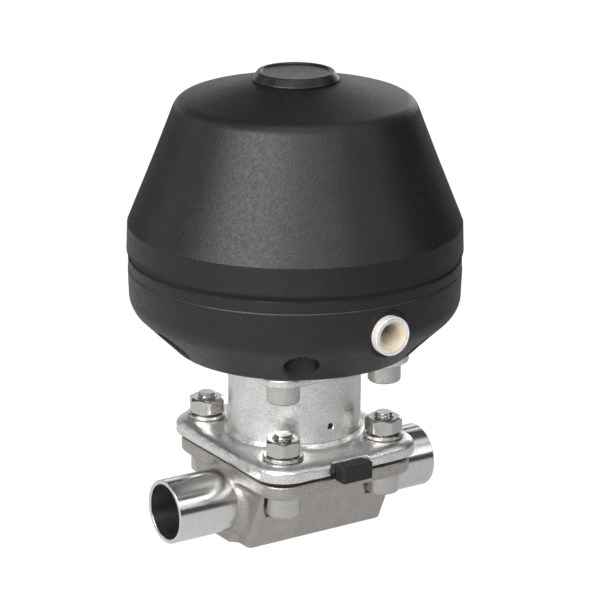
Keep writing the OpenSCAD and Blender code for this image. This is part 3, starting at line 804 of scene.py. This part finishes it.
class Paint:
    """A node material in short calls. Sizes are in millimetres, on the part's own coordinates."""

    def __init__(self, name, colour, metallic=0.0):
        self.material = bpy.data.materials.new(name)
        self.material.use_nodes = True
        self.tree = self.material.node_tree
        self.shader = self.tree.nodes["Principled BSDF"]
        self.colour = colour
        self.fix("Base Color", (*colour, 1))
        self.fix("Metallic", metallic)

    def fix(self, key, value):
        """Gives a shader input one value all over."""
        self.shader.inputs[key].default_value = value

    def link(self, source, target):
        self.tree.links.new(source, target)

    def place(self, stretch=(1, 1, 1)):
        """The part's own coordinates, stretched."""
        where = self.tree.nodes.new("ShaderNodeTexCoord")
        scale = self.tree.nodes.new("ShaderNodeMapping")
        scale.inputs["Scale"].default_value = stretch
        self.link(where.outputs["Object"], scale.inputs["Vector"])
        return scale.outputs["Vector"]

    def noise(self, size, detail, stretch=(1, 1, 1), distortion=0.0):
        made = self.tree.nodes.new("ShaderNodeTexNoise")
        made.inputs["Scale"].default_value = 1 / (size * MM)
        made.inputs["Detail"].default_value = detail
        made.inputs["Distortion"].default_value = distortion
        self.link(self.place(stretch), made.inputs["Vector"])
        return made.outputs["Fac"]

    def cells(self, size):
        made = self.tree.nodes.new("ShaderNodeTexVoronoi")
        made.inputs["Scale"].default_value = 1 / (size * MM)
        self.link(self.place(), made.inputs["Vector"])
        return made.outputs["Distance"]

    def spread(self, value, start, end, low_value, high_value):
        """The value from start to end, spread smoothly over low to high."""
        return map_range(self.tree, value, start, end, low_value, high_value, "SMOOTHSTEP")

    def cloud(self, low_value, high_value, size, detail, **extra):
        """Noise that wanders smoothly between two values."""
        return self.spread(self.noise(size, detail, **extra), 0.3, 0.7, low_value, high_value)

    def maths(self, kind, a, b):
        made = self.tree.nodes.new("ShaderNodeMath")
        made.operation = kind
        for socket, value in zip(made.inputs, (a, b)):
            if isinstance(value, (int, float)):
                socket.default_value = value
            else:
                self.link(value, socket)
        return made.outputs["Value"]

    def along(self, axis):
        """The part's own coordinate along an axis, in metres."""
        split = self.tree.nodes.new("ShaderNodeSeparateXYZ")
        self.link(self.place(), split.inputs["Vector"])
        return split.outputs[axis]

    def shade(self, factor):
        """The base colour multiplied by a factor, on top of what was there."""
        mix = self.tree.nodes.new("ShaderNodeVectorMath")
        mix.operation = "SCALE"
        target = self.shader.inputs["Base Color"]
        if target.is_linked:
            self.link(target.links[0].from_socket, mix.inputs[0])
        else:
            mix.inputs[0].default_value = self.colour
        self.link(factor, mix.inputs["Scale"])
        self.link(mix.outputs["Vector"], target)

    def blend_to(self, colour, factor):
        mix = self.tree.nodes.new("ShaderNodeMix")
        mix.data_type = "RGBA"
        target = self.shader.inputs["Base Color"]
        first, second = mix.inputs[6], mix.inputs[7]
        if target.is_linked:
            self.link(target.links[0].from_socket, first)
        else:
            first.default_value = (*self.colour, 1)
        second.default_value = (*colour, 1)
        self.link(factor, mix.inputs[0])
        self.link(mix.outputs[2], target)

    def rough(self, factor):
        self.link(factor, self.shader.inputs["Roughness"])

    def bump(self, height, depth):
        """Adds relief of so many millimetres on top of the relief that was there."""
        made = self.tree.nodes.new("ShaderNodeBump")
        made.inputs["Distance"].default_value = depth * MM
        self.link(height, made.inputs["Height"])
        target = self.shader.inputs["Normal"]
        if target.is_linked:
            self.link(target.links[0].from_socket, made.inputs["Normal"])
        self.link(made.outputs["Normal"], target)


def moulded_plastic(name, colour, roughness, grain):
    """Glass-filled plastic: fine speckle, cloudy patches and a sandy skin."""
    p = Paint(name, colour)
    p.shade(p.cloud(0.8, 1.2, 16, 4, distortion=0.6))
    p.shade(p.spread(p.noise(0.9, 3), 0.25, 0.75, 0.6, 1.4))
    p.blend_to([c * 2.4 for c in colour], p.spread(p.cells(1.7), 0.05, 0.16, 0.4, 0.0))
    p.rough(p.cloud(roughness - 0.05, roughness + 0.05, 1.3, 3))
    p.bump(p.noise(0.7, 3), grain)
    p.bump(p.noise(1.7, 2), grain * 0.3)
    return p


def lower_plastic():
    """A thin pale line is painted along the rounded edge under the seam: a painted highlight where that edge
    catches the light.
    """
    p = moulded_plastic("lower_plastic", (0.0055, 0.0057, 0.0061), 0.46, 0.06)
    level = p.maths("ADD", p.along("Z"), p.maths("MULTIPLY", p.noise(5, 3), 0.3 * MM))
    # painted highlight: the colour is made paler along the edge under the seam, at a slightly wandering
    # height
    painted_edge_highlight = p.spread(level, (SEAM_Z - 0.6) * MM, (SEAM_Z - 0.1) * MM, 0, 0.8)
    p.blend_to((0.045, 0.046, 0.048), painted_edge_highlight)
    return p.material


def upper_plastic():
    """An uneven, dull, near-black strip is painted round it above the lip: painted shade that stands in for
    the shadow in the shallow groove there.
    """
    p = moulded_plastic("upper_plastic", (0.0055, 0.0058, 0.0064), 0.46, 0.09)
    wander = p.maths("MULTIPLY", p.maths("SUBTRACT", p.noise(14, 3), 0.5), 3.2 * MM)
    level = p.maths("ADD", p.along("Z"), wander)
    rise = p.spread(level, (SEAM_Z + 3.4) * MM, (SEAM_Z + 4.2) * MM, 0, 1)
    fall = p.spread(level, (SEAM_Z + 5.4) * MM, (SEAM_Z + 8.4) * MM, 1, 0)
    painted_groove_shade = p.maths("MULTIPLY", rise, fall)
    # painted shade: the colour goes to near black in the groove above the lip, and the roughness is raised
    # there
    p.blend_to((0.001, 0.001, 0.001), painted_groove_shade)
    rough = p.shader.inputs["Roughness"].links[0].from_socket
    p.rough(p.maths("ADD", rough, p.maths("MULTIPLY", painted_groove_shade, 0.4)))
    return p.material


def cap_plastic():
    return moulded_plastic("cap_plastic", (0.007, 0.007, 0.0075), 0.36, 0.03).material


def blasted_steel(name, colour, roughness, sparkle, grain):
    """Bead-blasted stainless: a fine sparkling grain with soft clouds in shade and gloss."""
    p = Paint(name, colour, metallic=1.0)
    p.shade(p.cloud(0.94, 1.04, 12, 4))
    p.shade(p.spread(p.noise(0.6, 3), 0.25, 0.75, 1 - sparkle, 1 + sparkle * 0.7))
    p.rough(p.cloud(roughness - 0.04, roughness + 0.05, 7, 3))
    p.bump(p.noise(0.7, 3), grain)
    p.bump(p.noise(2.6, 2), grain)
    return p


def body_steel():
    return blasted_steel("body_steel", (0.46, 0.44, 0.415), 0.42, 0.2, 0.05).material


def cast_stainless():
    return blasted_steel("cast_stainless", (0.80, 0.795, 0.78), 0.37, 0.22, 0.1).material


def tube_steel():
    """Ground tube: very fine lines run round it, so that reflections smear along it."""
    p = Paint("tube_steel", (0.72, 0.71, 0.70), metallic=1.0)
    lines = p.noise(1.3, 4, stretch=(12, 0.2, 0.2))
    p.shade(p.spread(lines, 0.3, 0.7, 0.94, 1.03))
    p.shade(p.cloud(0.96, 1.02, 6, 3, stretch=(3, 1, 1)))
    p.rough(p.spread(lines, 0.3, 0.7, 0.15, 0.25))
    p.bump(lines, 0.006)
    p.fix("Anisotropic", 0.7)
    p.fix("Anisotropic Rotation", 0.25)
    round_axis = p.tree.nodes.new("ShaderNodeTangent")
    round_axis.direction_type = "RADIAL"
    round_axis.axis = "X"
    p.link(round_axis.outputs["Tangent"], p.shader.inputs["Tangent"])
    return p.material


def fastener_steel():
    """Bright cold-headed stainless with a faint speckle and dull patches."""
    p = Paint("fastener_steel", (0.56, 0.55, 0.53), metallic=1.0)
    p.shade(p.cloud(0.94, 1.03, 2.2, 3))
    p.shade(p.cloud(0.96, 1.03, 0.5, 2))
    p.rough(p.cloud(0.22, 0.3, 3.5, 3))
    p.bump(p.noise(0.6, 2), 0.002)
    return p.material


def bright_steel():
    p = Paint("bright_steel", (0.68, 0.68, 0.67), metallic=1.0)
    lines = p.noise(1.2, 3, stretch=(0.3, 0.3, 8))
    p.shade(p.spread(lines, 0.3, 0.7, 0.93, 1.04))
    p.rough(p.spread(lines, 0.3, 0.7, 0.12, 0.22))
    p.bump(lines, 0.004)
    return p.material


def plate_steel():
    p = Paint("plate_steel", (0.58, 0.59, 0.60), metallic=1.0)
    brushed = p.noise(1.5, 4, stretch=(0.2, 6, 1))
    p.shade(p.spread(brushed, 0.3, 0.7, 0.9, 1.06))
    p.rough(p.cloud(0.3, 0.42, 8, 3))
    p.bump(brushed, 0.008)
    return p.material


def spring_paint():
    """Dip-coated wire: dark blue-grey, a little orange peel and thin wear."""
    p = Paint("spring_paint", (0.045, 0.075, 0.12))
    p.fix("Coat Weight", 0.3)
    p.fix("Coat Roughness", 0.3)
    p.shade(p.cloud(0.8, 1.15, 5, 3))
    p.blend_to((0.16, 0.16, 0.17), p.spread(p.noise(2.2, 4), 0.66, 0.74, 0, 0.7))
    p.rough(p.cloud(0.35, 0.5, 3, 3))
    p.bump(p.noise(1.4, 2), 0.03)
    return p.material


def brass():
    p = Paint("brass", (0.72, 0.52, 0.24), metallic=1.0)
    knurl = p.noise(1.2, 2, stretch=(1, 1, 4))
    p.shade(p.spread(knurl, 0.3, 0.7, 0.85, 1.08))
    p.rough(p.cloud(0.25, 0.4, 4, 3))
    p.bump(knurl, 0.02)
    return p.material


def rubber(name, colour, roughness, grain):
    """Moulded rubber: dull, with faint bloom in patches and a fine sandy skin."""
    p = Paint(name, colour)
    p.fix("Specular IOR Level", 0.4)
    p.shade(p.cloud(0.75, 1.3, 0.7, 2))
    p.blend_to((0.06, 0.06, 0.062), p.spread(p.noise(4.5, 4), 0.56, 0.8, 0, 0.4))
    p.rough(p.cloud(roughness - 0.08, roughness + 0.06, 3, 3))
    p.bump(p.noise(0.8, 3), grain)
    return p.material


def membrane_fabric():
    """Rubber over woven fabric, whose threads show through."""
    p = Paint("membrane_fabric", (0.035, 0.030, 0.027))
    warp = p.tree.nodes.new("ShaderNodeTexWave")
    warp.inputs["Scale"].default_value = 1 / (2.4 * MM)
    weft = p.tree.nodes.new("ShaderNodeTexWave")
    weft.bands_direction = "Y"
    weft.inputs["Scale"].default_value = 1 / (2.4 * MM)
    for wave in (warp, weft):
        p.link(p.place(), wave.inputs["Vector"])
    weave = p.maths("MULTIPLY", warp.outputs["Fac"], weft.outputs["Fac"])
    p.shade(p.spread(weave, 0, 1, 0.7, 1.2))
    p.rough(p.cloud(0.7, 0.85, 3, 3))
    p.bump(weave, 0.05)
    return p.material


def polymer(name, colour, roughness, light_through):
    """A natural-coloured bearing or fitting plastic, faintly translucent, with flow marks."""
    p = Paint(name, colour)
    p.fix("Subsurface Weight", light_through)
    p.fix("Subsurface Radius", (0.0012, 0.0009, 0.0006))
    p.shade(p.cloud(0.88, 1.08, 3.5, 4, distortion=0.8))
    p.shade(p.cloud(0.95, 1.05, 0.6, 2))
    p.rough(p.cloud(roughness - 0.05, roughness + 0.08, 2.5, 3))
    p.bump(p.noise(1.2, 2), 0.01)
    return p.material


def indicator_red():
    p = Paint("indicator_red", (0.62, 0.035, 0.012))
    p.fix("Coat Weight", 0.4)
    p.shade(p.cloud(0.9, 1.06, 4, 3))
    p.rough(p.cloud(0.22, 0.34, 2, 3))
    p.bump(p.noise(1.5, 2), 0.01)
    return p.material


def paint_nodes(material, *nodes):
    """Gives carried-over CAD nodes their procedural material."""
    for node in nodes:
        made = frame["nodes"][node]
        for slot in made.material_slots:
            slot.material = material
        if not made.material_slots:
            made.data.materials.append(material)


# ---- stage, lights and camera

def floor():
    """A plain pale floor that gives a little light of its own, as a light table does."""
    half = 8.0
    mesh = bpy.data.meshes.new("floor")
    corners = [(-half, -half, 0), (half, -half, 0), (half, half, 0), (-half, half, 0)]
    mesh.from_pydata(corners, [], [(0, 1, 2, 3)])
    made = bpy.data.objects.new("floor", mesh)
    bpy.context.scene.collection.objects.link(made)
    material = bpy.data.materials.new("floor")
    material.use_nodes = True
    shader = material.node_tree.nodes["Principled BSDF"]
    shader.inputs["Base Color"].default_value = (0.12, 0.12, 0.12, 1)
    shader.inputs["Roughness"].default_value = 0.9
    shader.inputs["Specular IOR Level"].default_value = 0.1
    shader.inputs["Emission Color"].default_value = (1, 1, 1, 1)
    light_table(material.node_tree, shader)
    made.data.materials.append(material)
    made.location.z = -0.0002


def light_table(tree, shader):
    """The floor glows evenly to the camera, and to the part as a lit table, brighter on its left."""
    bright_r, edge_r, glow, glow_to_camera = 0.5, 0.75, 0.62, 0.96
    left_x, right_x, left_gain, right_gain = -0.2, 0.25, 1.2, 0.55
    where = tree.nodes.new("ShaderNodeTexCoord").outputs["Object"]
    reach = tree.nodes.new("ShaderNodeVectorMath")
    reach.operation = "LENGTH"
    tree.links.new(where, reach.inputs[0])
    split = tree.nodes.new("ShaderNodeSeparateXYZ")
    tree.links.new(where, split.inputs["Vector"])
    lit = tree.nodes.new("ShaderNodeMath")
    lit.operation = "MULTIPLY"
    tree.links.new(map_range(tree, reach.outputs["Value"], bright_r, edge_r, glow, 0), lit.inputs[0])
    across = map_range(tree, split.outputs["X"], left_x, right_x, left_gain, right_gain)
    tree.links.new(across, lit.inputs[1])
    path = tree.nodes.new("ShaderNodeLightPath")
    mix = tree.nodes.new("ShaderNodeMix")
    mix.inputs[3].default_value = glow_to_camera
    tree.links.new(path.outputs["Is Camera Ray"], mix.inputs[0])
    tree.links.new(lit.outputs["Value"], mix.inputs[2])
    tree.links.new(mix.outputs[0], shader.inputs["Emission Strength"])


def direction(azimuth, elevation):
    """Unit vector away from the part, from degrees. Azimuth 0 is the port's side, positive towards +X."""
    a, e = math.radians(azimuth), math.radians(elevation)
    return Vector((math.sin(a) * math.cos(e), -math.cos(a) * math.cos(e), math.sin(e)))


def softbox(name, azimuth, elevation, width, height, radiance, distance=1.3):
    """A soft light aimed at the middle of the part, in metres."""
    centre = Vector((0, 0, 0.09))
    away = direction(azimuth, elevation)
    data = bpy.data.lights.new(name, "AREA")
    data.shape = "RECTANGLE"
    data.size, data.size_y = width, height
    data.energy = radiance * math.pi * width * height
    made = bpy.data.objects.new(name, data)
    made.location = centre + away * distance
    made.rotation_euler = away.to_track_quat("Z", "Y").to_euler()
    made.visible_camera = False
    bpy.context.scene.collection.objects.link(made)


def world():
    """A dim studio round the part. The camera sees it as plain pale wall."""
    made = bpy.data.worlds.new("studio")
    bpy.context.scene.world = made
    made.use_nodes = True
    tree = made.node_tree
    room, wall = tree.nodes["Background"], tree.nodes.new("ShaderNodeBackground")
    room.inputs["Color"].default_value = (0.05, 0.051, 0.053, 1)
    wall.inputs["Color"].default_value = (0.97, 0.97, 0.97, 1)
    path = tree.nodes.new("ShaderNodeLightPath")
    mix = tree.nodes.new("ShaderNodeMixShader")
    tree.links.new(path.outputs["Is Camera Ray"], mix.inputs["Fac"])
    tree.links.new(room.outputs["Background"], mix.inputs[1])
    tree.links.new(wall.outputs["Background"], mix.inputs[2])
    tree.links.new(mix.outputs["Shader"], tree.nodes["World Output"].inputs["Surface"])


def lights():
    softbox("key", -66, 31, 1.2, 0.7, 7.4)
    softbox("overhead", -20, 82, 1.2, 1.2, 1.4, 1.5)
    softbox("fill", -12, 31, 0.75, 0.6, 3.2)
    softbox("right_card", 36, 27, 0.28, 0.66, 2.3)
    softbox("right_top", 52, 50, 0.5, 0.5, 1.0)
    softbox("back_wall", 147, 13, 2.2, 0.5, 1.0)
    softbox("left_strip", -138, 22, 0.3, 0.9, 1.6)
    softbox("right_rim", 126, 20, 0.3, 0.9, 2.0)


def camera():
    """At the photograph's viewing angle, with its long lens."""
    azimuth, elevation, distance, lean = -32.91982, 17.8605, 1.122007, 0.28
    target = Vector((0.001704, -0.001103, 0.09331))
    away = direction(azimuth, elevation)
    data = bpy.data.cameras.new("camera")
    data.sensor_width = 36
    data.lens = 171.1
    made = bpy.data.objects.new("camera", data)
    made.location = target + away * distance
    aim = away.to_track_quat("Z", "Y") @ Quaternion((0, 0, 1), math.radians(lean))
    made.rotation_euler = aim.to_euler()
    bpy.context.scene.collection.objects.link(made)
    bpy.context.scene.camera = made


# ---- the scene

camera()
world()
lights()
floor()
bpy.context.scene.view_settings.view_transform = "Standard"

FASTENER = fastener_steel()
TUBE = tube_steel()
TAN = polymer("tan_polymer", (0.70, 0.60, 0.46), 0.36, 0.15)
SPRING = spring_paint()

valve_body(body_steel())
tube_end("inlet_tube_end", -1, TUBE)
tube_end("outlet_tube_end", 1, TUBE)
bonnet(cast_stainless())
diaphragm(rubber("black_rubber", (0.012, 0.012, 0.013), 0.5, 0.02))
fasteners(FASTENER)
housing_screws(FASTENER)
lower_housing(lower_plastic())
upper_housing(upper_plastic())
top_cap(cap_plastic())
# the pale polymer is a painted highlight on the face and collar of the tan port insert
port_insert(polymer("painted_highlight_polymer", (0.70, 0.70, 0.70), 0.24, 0.05), TAN)
port_gasket(TAN)
spring("outer_spring", 31, 6, 6, SPRING)
spring("inner_spring", 20, 4.5, 7, SPRING)
membrane(membrane_fabric())

paint_nodes(bright_steel(), "stem", "compressor", "compressor_pin", "diaphragm_stud")
paint_nodes(plate_steel(), "lower_plate", "upper_plate", "spring_seat")
paint_nodes(FASTENER, "stem_washer", "stem_nut")
paint_nodes(rubber("seal_rubber", (0.018, 0.018, 0.018), 0.5, 0.01),
            "stem_seal", "stem_wiper", "bonnet_seal", "cap_seal")
paint_nodes(brass(), "actuator_inserts", "housing_inserts")
paint_nodes(polymer("bushing_polymer", (0.70, 0.64, 0.50), 0.4, 0.1), "stem_bushing")
paint_nodes(indicator_red(), "indicator_rod")
